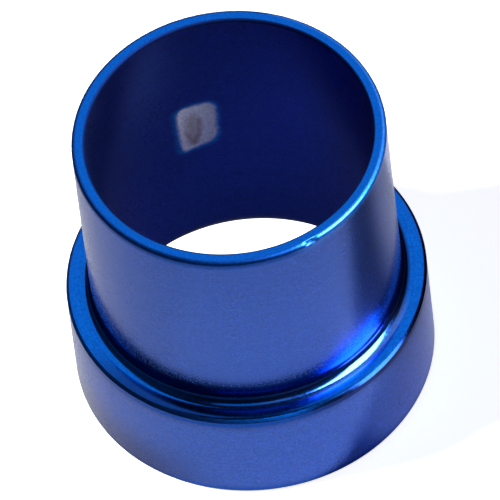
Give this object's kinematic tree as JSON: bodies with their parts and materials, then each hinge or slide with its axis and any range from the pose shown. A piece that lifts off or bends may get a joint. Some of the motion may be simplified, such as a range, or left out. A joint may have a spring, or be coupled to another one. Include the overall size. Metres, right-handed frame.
{
  "type": "tube sleeve",
  "caption": "Turned sleeve for flared tube: a thin plain barrel, a collar that a nut pulls on, and a conical flare seat in its foot.",
  "frame": {"origin": "centre of the base land at the flare end, on the axis of the bore", "axes": "+Z along the axis, from the flare end to the barrel's rim"},
  "size_m": [0.0162, 0.0162, 0.016],
  "materials": {
    "anodised_aluminium": "satin violet-blue anodising, glossier and a stronger blue on the turned end faces"
  },
  "bodies": {
    "root": {"tube_sleeve": "anodised_aluminium"}
  },
  "joints": []
}
